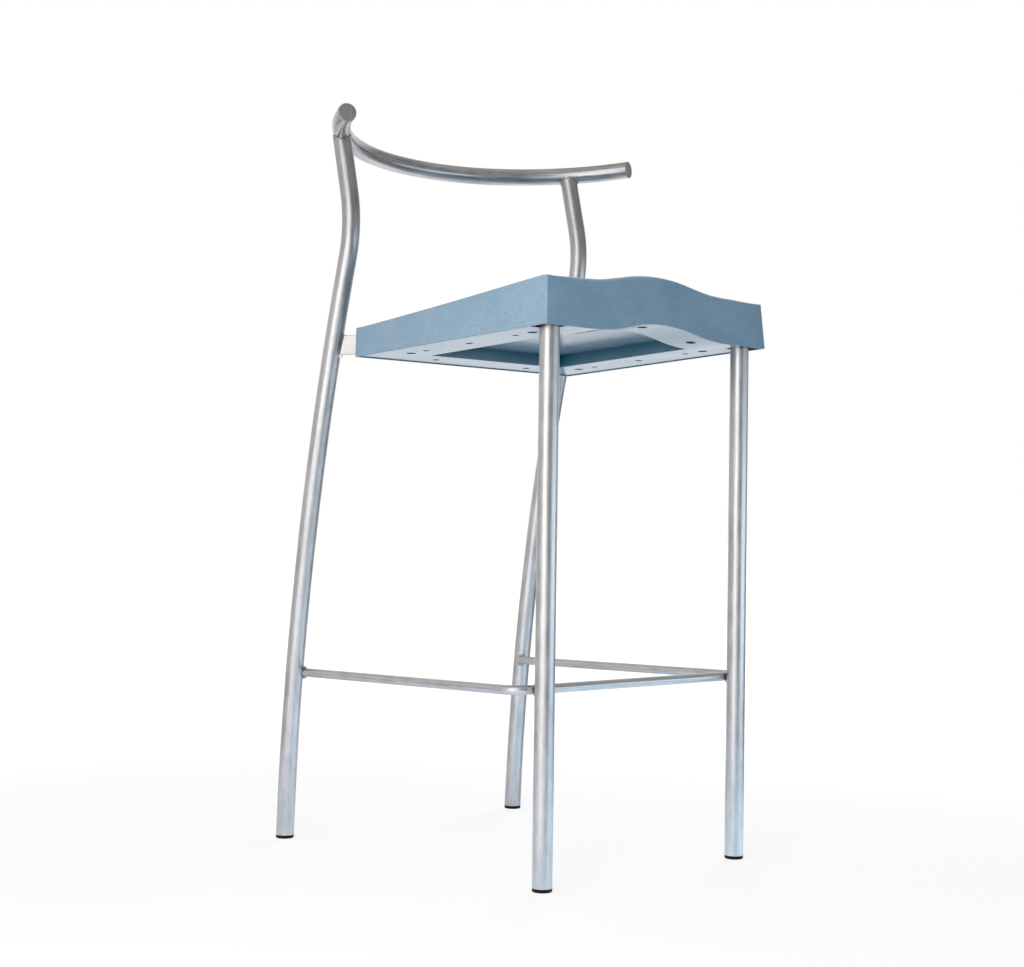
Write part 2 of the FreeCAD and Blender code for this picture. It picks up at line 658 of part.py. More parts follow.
def hump_profile(name, base, low, start, length):
    """A bar along the seat's depth whose top is the hump and whose flat foot is at a lower level."""
    half, height = dim("hump_half_width"), dim("hump_height")
    radius = (half ** 2 + height ** 2) / (4 * height)
    turn = math.atan2(half / 2, radius - height / 2)
    body = doc.addObject("PartDesign::Body", name)
    profile = body.newObject("Sketcher::SketchObject", name + "_profile")
    profile.AttachmentSupport = [(origin_feature(body, "XZ_Plane"), "")]
    profile.MapMode = "FlatFace"
    normal = vector(0, 0, 1)
    down, up = 1.5 * math.pi, 0.5 * math.pi

    def arc(centre, first, last):
        profile.addGeometry(Part.ArcOfCircle(Part.Circle(centre, normal, radius), first, last))

    profile.addGeometry(Part.LineSegment(vector(-half, low, 0), vector(half, low, 0)))
    profile.addGeometry(Part.LineSegment(vector(half, low, 0), vector(half, base, 0)))
    arc(vector(half, base + radius, 0), down - turn, down)
    arc(vector(0, base + height - radius, 0), up - turn, up + turn)
    arc(vector(-half, base + radius, 0), down, down + turn)
    profile.addGeometry(Part.LineSegment(vector(-half, base, 0), vector(-half, low, 0)))
    for first, end_a, second, end_b in ((0, 2, 1, 1), (1, 2, 2, 2), (4, 1, 5, 1), (5, 2, 0, 1)):
        profile.addConstraint(Sketcher.Constraint("Coincident", first, end_a, second, end_b))
    profile.addConstraint(Sketcher.Constraint("Tangent", 2, 1, 3, 1))
    profile.addConstraint(Sketcher.Constraint("Tangent", 3, 2, 4, 2))
    profile.addConstraint(Sketcher.Constraint("Symmetric", 0, 1, 0, 2, -2))
    profile.addConstraint(Sketcher.Constraint("Vertical", 1))
    profile.addConstraint(Sketcher.Constraint("Vertical", 5))
    profile.addConstraint(Sketcher.Constraint("Equal", 1, 5))
    profile.addConstraint(Sketcher.Constraint("Equal", 2, 3))
    profile.addConstraint(Sketcher.Constraint("Equal", 2, 4))
    profile.addConstraint(Sketcher.Constraint("Vertical", 2, 3, 2, 2))
    profile.addConstraint(Sketcher.Constraint("Vertical", 4, 3, 4, 1))
    hold(profile, "full_width", "2 * dims.hump_half_width", "DistanceX", 0, 1, 0, 2, 2 * half)
    profile.addConstraint(Sketcher.Constraint("DistanceY", 0, 2, low))
    profile.addConstraint(Sketcher.Constraint("DistanceY", 1, 1, 1, 2, base - low))
    arc_radius = "(dims.hump_half_width ^ 2 + dims.hump_height ^ 2) / (4 * dims.hump_height)"
    hold(profile, "arc_radius", arc_radius, "Radius", 2, radius)
    pad = body.newObject("PartDesign::Pad", name + "_pad")
    pad.Profile = profile
    pad.Reversed = True
    bind(pad, {"Length": length})
    body.Placement = seat_frame.multiply(FreeCAD.Placement(vector(0, start, 0), UPRIGHT))
    return body


# Seat base: a tray let into the skirt, with a flat margin, a sunk panel, screw cups and dimples.
inset = dim("base_inset")
thick = dim("base_thickness")
gap = dim("fit_gap")
opening_half = dim("opening_width") / 2
opening_rear = dim("seat_depth") - dim("margin_rear")
OPENING_DEPTH = "dims.seat_depth - dims.margin_front - dims.margin_rear"

pocket_width = dim("front_leg_inset") + tube_r + dim("pocket_clearance")
pocket_depth = dim("seat_overhang") + tube_r + dim("pocket_clearance")
POCKET_WIDTH = "dims.front_leg_inset + dims.tube_diameter / 2 + dims.pocket_clearance"
POCKET_DEPTH = "dims.seat_overhang + dims.tube_diameter / 2 + dims.pocket_clearance"

margin_x = seat_half - dim("side_hole_inset")
side_middle_y = (dim("margin_front") + opening_rear) / 2
front_row_y = dim("margin_front") / 2
rear_row_y = dim("seat_depth") - dim("margin_rear") / 2
LARGE_HOLES = (
    [(side * margin_x, side_middle_y + way * dim("side_hole_reach")) for side in (-1, 1) for way in (-1, 1)]
    + [(side * dim("front_hole_reach"), front_row_y) for side in (-1, 0, 1)]
)
SMALL_HOLES = (
    [(side * margin_x, side_middle_y) for side in (-1, 1)]
    + [(side * dim("rear_hole_reach"), rear_row_y) for side in (-1, 1)]
)
DIMPLES = [
    (side * margin_x, side_middle_y + way * dim("side_dimple_reach")) for side in (-1, 1) for way in (-1, 1)
]
HOLE_KINDS = (("large", LARGE_HOLES), ("small", SMALL_HOLES))


def margin_level(x, y):
    """Lower face of the margin in the seat's frame: raised over the hump at the front."""
    return inset + (hump(x) if y < dim("margin_front") else 0.0)


def base_plate():
    """Margin, hump strip and sunk panel without the screw cups."""
    corner = (-seat_half, 0, inset)
    margin = box(
        "base_margin",
        "dims.seat_width",
        "dims.seat_depth",
        "dims.base_thickness",
        corner,
        seat_frame,
    )
    strip = hump_profile("base_strip", inset + thick, inset, 0, "dims.margin_front")
    tray = box(
        "base_tray",
        "dims.opening_width + 2 * dims.base_thickness",
        OPENING_DEPTH + " + 2 * dims.base_thickness",
        "dims.base_recess + dims.base_thickness",
        (-opening_half - thick, dim("margin_front") - thick, inset),
        seat_frame,
    )
    recess = box(
        "base_recess_space", "dims.opening_width", OPENING_DEPTH, "dims.base_recess + dims.base_inset",
        (-opening_half, dim("margin_front"), 0), seat_frame,
    )
    under = hump_profile("base_under", inset, -dim("skirt_front"), 0, "dims.margin_front")
    pockets = []
    for side_name, side in SIDES:
        corner = (min(side * seat_half, side * (seat_half - pocket_width)), 0, -dim("skirt_front") / 2)
        name = "base_pocket_" + side_name
        pockets.append(box(name, POCKET_WIDTH, POCKET_DEPTH, "dims.skirt_front", corner, seat_frame))
    space = drafted_block("base_space", "(dims.seat_wall + dims.fit_gap)")
    whole = common("base_whole", fuse("base_parts", margin, strip, tray), space)
    return cut("base_plate", whole, recess, under, *pockets)


def screw_cups():
    """Cups that rise from the margin round each screw, and the bores that open them from below."""
    cups, bores = [], []
    for kind, holes in HOLE_KINDS:
        across = "dims.screw_cup_%s / 2" % kind
        shank = "dims.screw_%s / 2 + dims.fit_gap" % kind
        for number, (x, y) in enumerate(holes, start=1):
            label = "%s_%d" % (kind, number)
            low = margin_level(x, y)
            cup_height = "dims.cup_depth + dims.cup_wall - dims.base_thickness / 2"
            cup_base = (x, y, low + thick / 2)
            cup_r = across + " + dims.cup_wall"
            cups.append(cylinder("cup_" + label, cup_r, cup_height, cup_base, seat_frame))
            bore_base = (x, y, low - dim("skirt_front"))
            bore_height = "dims.cup_depth + dims.skirt_front"
            bores.append(cylinder("bore_" + label, across, bore_height, bore_base, seat_frame))
            shank_height = "dims.cup_depth + 2 * dims.cup_wall"
            bores.append(cylinder("shank_hole_" + label, shank, shank_height, (x, y, low), seat_frame))
    for number, (x, y) in enumerate(DIMPLES, start=1):
        base = (x, y, margin_level(x, y) - inset)
        height = "dims.dimple_depth + dims.base_inset"
        bores.append(cylinder("dimple_%d" % number, "dims.dimple_diameter / 2", height, base, seat_frame))
    return cups, bores


cups, bores = screw_cups()
seat_base = cut("seat_base", fuse("base_with_cups", base_plate(), *cups), fuse("base_bores", *bores))


# Screws: round heads at the bottom of the cups, shanks up into the shell's posts.
def screw_set(kind, holes):
    screws = []
    for number, (x, y) in enumerate(holes, start=1):
        label = "%s_%d" % (kind, number)
        seat = margin_level(x, y) + dim("cup_depth")
        head_base = (x, y, seat - dim("head_height"))
        head_r = "dims.head_%s / 2" % kind
        head = cylinder("head_" + label, head_r, "dims.head_height", head_base, seat_frame)
        shank_r = "dims.screw_%s / 2" % kind
        shank = cylinder("shank_" + label, shank_r, "dims.screw_length", (x, y, seat), seat_frame)
        slot = doc.addObject("Part::Prism", "socket_" + label)
        slot.Polygon = 6
        bind(slot, {"Circumradius": "dims.head_%s / 4" % kind, "Height": "dims.head_height / 2"})
        slot.Placement = seat_frame.multiply(FreeCAD.Placement(vector(*head_base), UPRIGHT))
        screws.append(cut("screw_" + label, fuse("blank_" + label, head, shank), slot))
    return group("seat_screws_" + kind, *screws)


screw_sets = [screw_set(kind, holes) for kind, holes in HOLE_KINDS]


# Seat shell: an open box under the sitting surface, with posts for the screws and walls at the leg pockets.
def seat_shell_shape():
    tall = "3 * dims.skirt_front"
    block = drafted_block("seat_block", "0")
    rounded = doc.addObject("Part::Fillet", "seat_block_rounded")
    rounded.Base = block
    doc.recompute()
    height = dim("skirt_front")
    upright_edges = [n for n, edge in enumerate(block.Shape.Edges, 1) if edge.BoundBox.ZLength > height]
    rounded.Edges = [(n, dim("seat_corner"), dim("seat_corner")) for n in upright_edges]
    above = seat_surface_solid("seat_above", 0.0)
    below_pan = seat_surface_solid("seat_below_pan", dim("pan_thickness"))
    wall = dim("seat_wall")
    inside = drafted_block("seat_inside", "dims.seat_wall")
    posts = []
    for kind, holes in HOLE_KINDS:
        for number, (x, y) in enumerate(holes, start=1):
            label = "%s_%d" % (kind, number)
            foot = margin_level(x, y) + dim("cup_depth") + dim("cup_wall")
            post = cylinder("post_" + label, "dims.screw_cup_%s / 2" % kind, tall, (x, y, foot), seat_frame)
            hole_r = "dims.screw_%s / 2 + dims.fit_gap" % kind
            hole_base = (x, y, foot - dim("cup_wall"))
            hole_length = "dims.screw_length + dims.fit_gap"
            hole = cylinder("post_hole_" + label, hole_r, hole_length, hole_base, seat_frame)
            posts.append(cut("post_bored_" + label, post, hole))
    pocket_walls = []
    pocket_foot = inset + thick + gap
    for (side_name, side), slot in zip(SIDES, bar_slots):
        inner_x = seat_half - pocket_width
        outer_corner = (min(side * seat_half, side * (inner_x - wall)), 0, pocket_foot)
        inner_corner = (min(side * seat_half, side * inner_x), 0, pocket_foot)
        outer_width = POCKET_WIDTH + " + dims.seat_wall"
        outer_depth = POCKET_DEPTH + " + dims.seat_wall"
        outer = box("pocket_outer_" + side_name, outer_width, outer_depth, tall, outer_corner, seat_frame)
        inner = box("pocket_inner_" + side_name, POCKET_WIDTH, POCKET_DEPTH, tall, inner_corner, seat_frame)
        pocket_walls.append(cut("pocket_walls_" + side_name, outer, inner, slot))
    hollow = cut("seat_hollow", inside, below_pan, fuse("seat_ribs", *posts, *pocket_walls))
    under_flat = box(
        "seat_under_flat", "2 * dims.seat_width", "2 * dims.seat_depth", "2 * dims.skirt_front",
        (-2 * seat_half, -dim("seat_depth") / 2, -2 * dim("skirt_front")), seat_frame,
    )
    under_length = "dims.margin_front + dims.seat_wall"
    under_hump = hump_profile("seat_under_hump", 0.0, -dim("skirt_front"), -dim("seat_wall"), under_length)
    return cut("seat_shell", rounded, above, hollow, under_flat, under_hump, *bar_slots, *leg_clearances)


seat_shell = seat_shell_shape()

# Check and write every piece.
doc.recompute()
PIECES = (
    front_legs + rear_legs + [back_rail] + rail_caps + [back_rail_welds, footrest_rod, footrest_welds]
    + seat_bars + [seat_bar_welds, seat_shell, seat_base] + screw_sets + foot_glides
)
for item in doc.Objects:
    if "Invalid" in item.State or "Error" in item.State:
        raise RuntimeError("%s failed: %s" % (item.Name, item.State))
for piece in PIECES:
    if piece.Shape.isNull() or not piece.Shape.isValid():
        raise RuntimeError("%s has no valid shape" % piece.Label)

os.makedirs("parts", exist_ok=True)
for piece in PIECES:
    piece.Shape.exportStep("parts/%s.step" % piece.Label)
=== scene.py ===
import math

import bpy
from mathutils import Matrix, Vector

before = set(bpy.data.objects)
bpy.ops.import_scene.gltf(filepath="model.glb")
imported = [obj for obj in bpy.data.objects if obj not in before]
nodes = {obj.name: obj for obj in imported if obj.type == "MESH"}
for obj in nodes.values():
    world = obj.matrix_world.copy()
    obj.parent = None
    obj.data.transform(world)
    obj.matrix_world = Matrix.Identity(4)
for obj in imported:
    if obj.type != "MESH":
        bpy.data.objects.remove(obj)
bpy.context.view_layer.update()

# Looks for the bar stool: satin steel frame, blue-grey moulded seat and black feet in a white studio.
scene = bpy.context.scene
SIDES = ("left", "right")

# The photograph's camera: place in metres, angles in degrees, focal length in widths of the picture.
CAMERA_PLACE = Vector((-1.6374, -1.8155, 0.4467))
CAMERA_YAW = math.radians(41.707)
CAMERA_PITCH = math.radians(1.280)
CAMERA_ROLL = math.radians(-0.818)
FOCAL_WIDTHS = 1.7210
SENSOR_MM = 36.0

# The rail's arc and the rear legs' slow curve in metres, for grain that follows the bent tubes.
RAIL_CENTRE_Y = -0.0488
RAIL_RADIUS = 0.287
LEG_CURVE_RADIUS = 3.540
LEG_CURVE_CENTRE = (-3.2863, -0.1437)
LEG_BEND_Z = 0.849
BACK_LEAN = math.radians(13.8)

# How far noise is drawn out along a tube: the smaller the last value, the longer the marks.
FINE_GRAIN = (1.0, 1.0, 0.03)
DRAWN_LINES = (1.0, 1.0, 0.025)
LONG_PATCHES = (1.0, 1.0, 0.35)
CROSSWISE_DRAW = 0.03

# Heights in metres above which a tube's colour darkens: painted shade on the tube tops.
SHADED_TOP_HEIGHTS = (0.70, 0.90)

# Sharp edges, and the painted shade in inner corners.
EDGE_STRENGTH = 2.5
EDGE_SAMPLES = 6
SHADE_SAMPLES = 8
STEEL_SHADE_REACH = 0.006
SEAT_EDGE_WIDTH = 0.0016


# Node helpers.
def new_material(name):
    material = bpy.data.materials.new(name)
    material.use_nodes = True
    tree = material.node_tree
    return material, tree, tree.nodes["Principled BSDF"]


def add(tree, kind, inputs=None, **settings):
    """A node with its settings, and its inputs linked or set."""
    node = tree.nodes.new(kind)
    for name, value in settings.items():
        setattr(node, name, value)
    for name, value in (inputs or {}).items():
        put(tree, node.inputs[name], value)
    return node


def put(tree, socket, value):
    if isinstance(value, bpy.types.NodeSocket):
        tree.links.new(value, socket)
    else:
        socket.default_value = value


def maths(tree, operation, first, second=0.0):
    return add(tree, "ShaderNodeMath", {0: first, 1: second}, operation=operation).outputs[0]


def dot(tree, first, second):
    node = add(tree, "ShaderNodeVectorMath", {0: first, 1: second}, operation="DOT_PRODUCT")
    return node.outputs["Value"]


def stretch(tree, vector, scale):
    node = add(tree, "ShaderNodeVectorMath", {0: vector, 1: scale}, operation="MULTIPLY")
    return node.outputs["Vector"]


def split(tree, vector):
    return add(tree, "ShaderNodeSeparateXYZ", {0: vector}).outputs


def join(tree, x, y, z):
    return add(tree, "ShaderNodeCombineXYZ", {0: x, 1: y, 2: z}).outputs[0]


def noise(tree, vector, scale, detail=3.0, roughness=0.5):
    inputs = {"Vector": vector, "Scale": scale, "Detail": detail, "Roughness": roughness}
    return add(tree, "ShaderNodeTexNoise", inputs).outputs["Fac"]


def remap(tree, value, span, result=(0.0, 1.0)):
    """A smooth step from one span of values to another."""
    inputs = {"Value": value, "From Min": span[0], "From Max": span[1]}
    inputs.update({"To Min": result[0], "To Max": result[1]})
    return add(tree, "ShaderNodeMapRange", inputs, interpolation_type="SMOOTHSTEP").outputs["Result"]


def blend(tree, share, first, second):
    """The first colour at share 0, the second at share 1."""
    node = add(tree, "ShaderNodeMix", data_type="RGBA")
    put(tree, node.inputs[0], share)
    put(tree, node.inputs[6], first)
    put(tree, node.inputs[7], second)
    return node.outputs[2]


def bump(tree, height, strength, distance, normal=None):
    inputs = {"Height": height, "Strength": strength, "Distance": distance}
    if normal is not None:
        inputs["Normal"] = normal
    return add(tree, "ShaderNodeBump", inputs).outputs["Normal"]


def place(tree):
    return add(tree, "ShaderNodeTexCoord").outputs["Object"]


def edge_share(tree, radius):
    """How near a surface lies to a sharp edge, from the turn of a rounded normal, and that normal."""
    rounded = add(tree, "ShaderNodeBevel", {"Radius": radius}, samples=EDGE_SAMPLES).outputs["Normal"]
    flat = add(tree, "ShaderNodeNewGeometry").outputs["Normal"]
    turn = maths(tree, "SUBTRACT", 1.0, dot(tree, rounded, flat))
    return maths(tree, "MINIMUM", maths(tree, "MULTIPLY", turn, EDGE_STRENGTH), 1.0), rounded


def openness(tree, distance):
    """1 on open surfaces, towards 0 in holes, gaps and inner corners."""
    node = add(tree, "ShaderNodeAmbientOcclusion", {"Distance": distance}, samples=SHADE_SAMPLES)
    return node.outputs["AO"]


def grey(level):
    return (level, level, level, 1.0)


# Grain coordinates: the last axis runs along the tube.
def upright_grain(tree):
    return place(tree)


def rail_grain(tree):
    """Turns about the rail's own centre, so that the grain follows the arc."""
    axes = split(tree, place(tree))
    back = maths(tree, "SUBTRACT", axes["Y"], RAIL_CENTRE_Y)
    angle = maths(tree, "ARCTAN2", axes["X"], back)
    squares = maths(tree, "ADD", maths(tree, "POWER", axes["X"], 2.0), maths(tree, "POWER", back, 2.0))
    reach = maths(tree, "SQRT", squares)
    length = maths(tree, "MULTIPLY", angle, RAIL_RADIUS)
    return join(tree, reach, axes["Z"], length)


def rear_leg_grain(tree):
    """Slides each height back onto the leg's centre line, below and above the bend."""
    axes = split(tree, place(tree))
    centre_y, centre_z = LEG_CURVE_CENTRE
    rise = maths(tree, "SUBTRACT", axes["Z"], centre_z)
    drop = maths(tree, "SUBTRACT", LEG_CURVE_RADIUS ** 2, maths(tree, "POWER", rise, 2.0))
    lower = maths(tree, "ADD", maths(tree, "SQRT", drop), centre_y)
    over = maths(tree, "MAXIMUM", maths(tree, "SUBTRACT", axes["Z"], LEG_BEND_Z), 0.0)
    upper = maths(tree, "MULTIPLY", over, 2 * math.tan(BACK_LEAN))
    line = maths(tree, "ADD", lower, upper)
    across = maths(tree, "SUBTRACT", axes["Y"], line)
    return join(tree, axes["X"], across, axes["Z"])


def level_grain(tree):
    """For the footrest and bars: the grain runs level, crosswise as well as fore and aft."""
    axes = split(tree, place(tree))
    crosswise = maths(tree, "MULTIPLY", axes["X"], CROSSWISE_DRAW)
    return join(tree, crosswise, axes["Z"], axes["Y"])


# Frame steel.
def steel(name, grain_of, tone=0.70, gloss=0.31, scoring=0.30, shaded_top_keep=1.0,
          edge_tone=1.0, edge_width=0.0008):
    """Satin stainless steel: lengthwise grain, drawn lines, faint mottling, a few marks, edges set to a tone
    of their own (worn edges, lifted into a painted highlight or lowered into painted shade where asked),
    painted shade in inner corners, and painted shade darkening the tube tops where asked.
    """
    material, tree, shader = new_material(name)
    along = grain_of(tree)
    edge, rounded = edge_share(tree, edge_width)
    grain = noise(tree, stretch(tree, along, FINE_GRAIN), 1400.0, 4.0, 0.6)
    drawn = noise(tree, stretch(tree, along, DRAWN_LINES), 330.0, 5.0, 0.65)
    patches = noise(tree, stretch(tree, along, LONG_PATCHES), 95.0, 5.0, 0.6)
    marks = remap(tree, noise(tree, along, 210.0, 6.0, 0.7), (0.60, 0.74), (0.0, 0.2))

    dull = grey(tone * 0.88)
    clear = (tone * 1.11, tone * 1.10, tone * 1.09, 1.0)
    score_line = grey(tone * 0.4)
    grain_line = grey(tone * 0.75)
    mark = grey(tone * 0.6)
    inner_corner_shade = grey(tone * 0.3)

    mottled = blend(tree, remap(tree, patches, (0.30, 0.70)), dull, clear)
    # Painted shade: above these heights the colour is darkened towards black.
    top_shade = remap(tree, split(tree, place(tree))["Z"], SHADED_TOP_HEIGHTS, (0.0, 1.0 - shaded_top_keep))
    top_shaded = blend(tree, top_shade, mottled, grey(0.0))
    scored = blend(tree, remap(tree, drawn, (0.46, 0.66), (0.0, scoring)), top_shaded, score_line)
    grained = blend(tree, remap(tree, grain, (0.3, 0.7), (0.0, 0.3)), scored, grain_line)
    marked = blend(tree, marks, grained, mark)
    # Edges take their own tone: worn edges, made a painted highlight where edge_tone is above 1 and painted
    # shade where it is below 1.
    edge_wear_and_light = blend(tree, edge, marked, grey(tone * edge_tone))
    # Painted shade: the colour darkens where the steel is closed in, at joints and where the legs enter the
    # seat.
    clear_of_corner_shade = remap(tree, openness(tree, STEEL_SHADE_REACH), (0.25, 0.75), (0.60, 1.0))
    put(tree, shader.inputs["Base Color"], blend(tree, clear_of_corner_shade, inner_corner_shade, edge_wear_and_light))

    satin = remap(tree, patches, (0.25, 0.75), (gloss - 0.04, gloss + 0.06))
    put(tree, shader.inputs["Roughness"], maths(tree, "ADD", satin, maths(tree, "MULTIPLY", grain, 0.05)))
    put(tree, shader.inputs["Normal"], bump(tree, grain, 0.10, 0.0002, rounded))
    shader.inputs["Metallic"].default_value = 1.0
    return material


# Weld beads.
def weld_steel():
    """Weld metal: brushed over, so nearly as pale as the tubes, with faint ripples and a trace of tint."""
    material, tree, shader = new_material("weld steel")
    where = place(tree)
    patches = noise(tree, where, 260.0, 4.0)
    rings = {"Vector": where, "Scale": 240.0, "Distortion": 4.0, "Detail": 2.0}
    ripple = add(tree, "ShaderNodeTexWave", rings, wave_type="RINGS").outputs["Fac"]
    put(tree, shader.inputs["Base Color"], blend(tree, patches, (0.46, 0.44, 0.42, 1.0), grey(0.64)))
    put(tree, shader.inputs["Roughness"], remap(tree, patches, (0.2, 0.8), (0.30, 0.46)))
    put(tree, shader.inputs["Normal"], bump(tree, ripple, 0.12, 0.0005))
    shader.inputs["Metallic"].default_value = 1.0
    return material


# Screws.
def zinc():
    """Zinc plated screws: dull, spangled metal."""
    material, tree, shader = new_material("zinc plate")
    spangle = noise(tree, place(tree), 900.0)
    put(tree, shader.inputs["Base Color"], blend(tree, spangle, grey(0.16), (0.30, 0.30, 0.28, 1.0)))
    put(tree, shader.inputs["Roughness"], remap(tree, spangle, (0.2, 0.8), (0.32, 0.5)))
    put(tree, shader.inputs["Normal"], bump(tree, spangle, 0.15, 0.0003))
    shader.inputs["Metallic"].default_value = 1.0
    return material


# Seat plastic.
SEAT_BLUE = (0.215, 0.348, 0.462, 1.0)
SEAT_PALE = (0.330, 0.455, 0.550, 1.0)
SEAT_DARK = (0.145, 0.262, 0.368, 1.0)
# Painted shade colours: deep teal for hollows, near black for narrow gaps.
SEAT_HOLLOW_SHADE = (0.010, 0.120, 0.185, 1.0)
SEAT_GAP_SHADE = (0.003, 0.008, 0.012, 1.0)
LEVEL_STREAKS = (0.25, 0.25, 1.0)


def moulded(name, gloss, mirror, texture_depth, shade_reach):
    """Cloudy blue with fine level streaks, painted highlights along the edges, and painted shade darkening
    hollows and gaps.
    """
    material, tree, shader = new_material(name)
    where = place(tree)
    cloud = noise(tree, where, 16.0, 6.0, 0.65)
    streaks = noise(tree, stretch(tree, where, LEVEL_STREAKS), 420.0, 5.0, 0.7)
    speckle = noise(tree, where, 800.0, 3.0, 0.6)
    edge, rounded = edge_share(tree, SEAT_EDGE_WIDTH)

    clouded = blend(tree, remap(tree, cloud, (0.30, 0.70), (0.45, 1.0)), SEAT_DARK, SEAT_BLUE)
    streaked = blend(tree, remap(tree, streaks, (0.42, 0.66), (0.0, 0.55)), clouded, SEAT_DARK)
    speckled = blend(tree, remap(tree, speckle, (0.5, 0.75), (0.0, 0.25)), streaked, SEAT_PALE)
    # Painted highlight: the colour is lifted towards pale along the edges.
    edge_highlighted = blend(tree, maths(tree, "MULTIPLY", edge, 0.55), speckled, SEAT_PALE)
    open_share = openness(tree, shade_reach)
    # Painted shade: hollows such as the base's recess darken towards deep teal, and shine less.
    clear_of_hollow_shade = remap(tree, open_share, (0.40, 0.85))
    # Painted shade: narrow gaps such as the leg pockets go nearly black.
    clear_of_gap_shade = remap(tree, open_share, (0.12, 0.42))
    shaded = blend(tree, clear_of_hollow_shade, SEAT_HOLLOW_SHADE, edge_highlighted)
    put(tree, shader.inputs["Base Color"], blend(tree, clear_of_gap_shade, SEAT_GAP_SHADE, shaded))

    put(tree, shader.inputs["Roughness"], remap(tree, cloud, (0.25, 0.75), (gloss - 0.03, gloss + 0.06)))
    put(tree, shader.inputs["Specular IOR Level"], maths(tree, "MULTIPLY", clear_of_hollow_shade, mirror))
    put(tree, shader.inputs["Normal"], bump(tree, speckle, texture_depth, 0.0002, rounded))
    return material


# Feet.
FLAT_SCUFFS = (1.0, 1.0, 4.0)


def black_plastic():
    """Matt black moulding with faint grey scuffs."""
    material, tree, shader = new_material("black plastic")
    where = place(tree)
    grain = noise(tree, where, 1300.0)
    scrapes = noise(tree, stretch(tree, where, FLAT_SCUFFS), 330.0, 5.0, 0.7)
    scuff = remap(tree, scrapes, (0.56, 0.70), (0.0, 0.8))
    put(tree, shader.inputs["Base Color"], blend(tree, scuff, grey(0.004), grey(0.020)))
    put(tree, shader.inputs["Roughness"], remap(tree, grain, (0.2, 0.8), (0.38, 0.62)))
    put(tree, shader.inputs["Normal"], bump(tree, grain, 0.12, 0.0003))
    shader.inputs["Specular IOR Level"].default_value = 0.2
    return material


# Each node gets its material.
def dress(names, material):
    for name in names:
        data = nodes[name].data
        data.materials.clear()
        data.materials.append(material)


def pair(name):
    return [name + "_" + side for side in SIDES]


rail_steel = steel("rail steel", rail_grain, tone=0.58, gloss=0.28, scoring=0.8)
# The cap's raised edge tone is a painted highlight on its rim.
cap_steel = steel("cap steel", upright_grain, tone=0.46, gloss=0.42, edge_tone=1.6)
# The bar's lowered edge tone is painted shade along its top and bottom edges.
bar_steel = steel("bar steel", level_grain, tone=0.54, gloss=0.30, scoring=0.1,
                  edge_tone=0.3, edge_width=0.0018)
shell_plastic = moulded("seat plastic", gloss=0.32, mirror=0.50, texture_depth=0.05, shade_reach=0.02)
base_plastic = moulded("seat base plastic", gloss=0.16, mirror=0.80, texture_depth=0.01, shade_reach=0.05)

dress(pair("front_leg"), steel("leg steel", upright_grain))
# The rear legs' upper parts are darkened: painted shade.
dress(pair("rear_leg"), steel("rear leg steel", rear_leg_grain, shaded_top_keep=0.74))
dress(["back_rail"], rail_steel)
dress(pair("back_rail_cap"), cap_steel)
dress(["footrest_rod"], steel("footrest steel", level_grain, tone=0.68))
dress(pair("seat_bar"), bar_steel)
dress(["back_rail_welds", "footrest_welds", "seat_bar_welds"], weld_steel())
dress(["seat_screws_large", "seat_screws_small"], zinc())
dress(["seat_shell"], shell_plastic)
dress(["seat_base"], base_plastic)
dress(pair("foot_glide_front") + pair("foot_glide_rear"), black_plastic())


# Studio: a white sweep behind the stool, a pale wall to the left, a darker one to the right.
BACKDROP_WAY = (0.665, 0.746, 0.0)
LEFT_WAY = (-0.746, 0.665, 0.0)
KEY_WAY = (-0.920, -0.390, 0.0)
WHITE = grey(1.0)

# The room as the metal mirrors it, and the light that it sends onto the stool.
LEFT_WALL = grey(0.66)
RIGHT_WALL = grey(0.28)
RIGHT_WALL_LEVEL = grey(0.42)
CEILING = grey(0.52)
LEFT_LIGHT = (1.92, 1.56, 1.45, 1.0)
RIGHT_LIGHT = (0.31, 0.46, 0.60, 1.0)
TOP_LIGHT = grey(0.30)

# The floor as the metal mirrors it, a painted glow that is lighter towards the key lamp and the backdrop and
# darkest far to the right, and its colour for bounced light, for mirrored rays and for the camera.
FLOOR_SIZE = 60.0
FAR_LEFT_FLOOR = grey(0.32)
FAR_RIGHT_FLOOR = grey(0.05)
NEAR_LEFT_FLOOR = (0.50, 0.57, 0.66, 1.0)
NEAR_RIGHT_FLOOR = (0.60, 0.82, 1.00, 1.0)
KEY_FLOOR = (0.86, 0.90, 0.97, 1.0)
BACK_FLOOR = (0.90, 0.95, 1.00, 1.0)
FLOOR_BOUNCE = grey(0.66)
FLOOR_SHOWN = grey(0.24)
FLOOR_GLOW_NEAR = grey(0.76)


def shown_rays(tree):
    """Camera rays, and all rays that see the studio itself: camera, mirrored and transmitted."""
    rays = add(tree, "ShaderNodeLightPath").outputs
    bounced = maths(tree, "MAXIMUM", rays["Is Glossy Ray"], rays["Is Transmission Ray"])
    return rays["Is Camera Ray"], maths(tree, "MAXIMUM", rays["Is Camera Ray"], bounced)


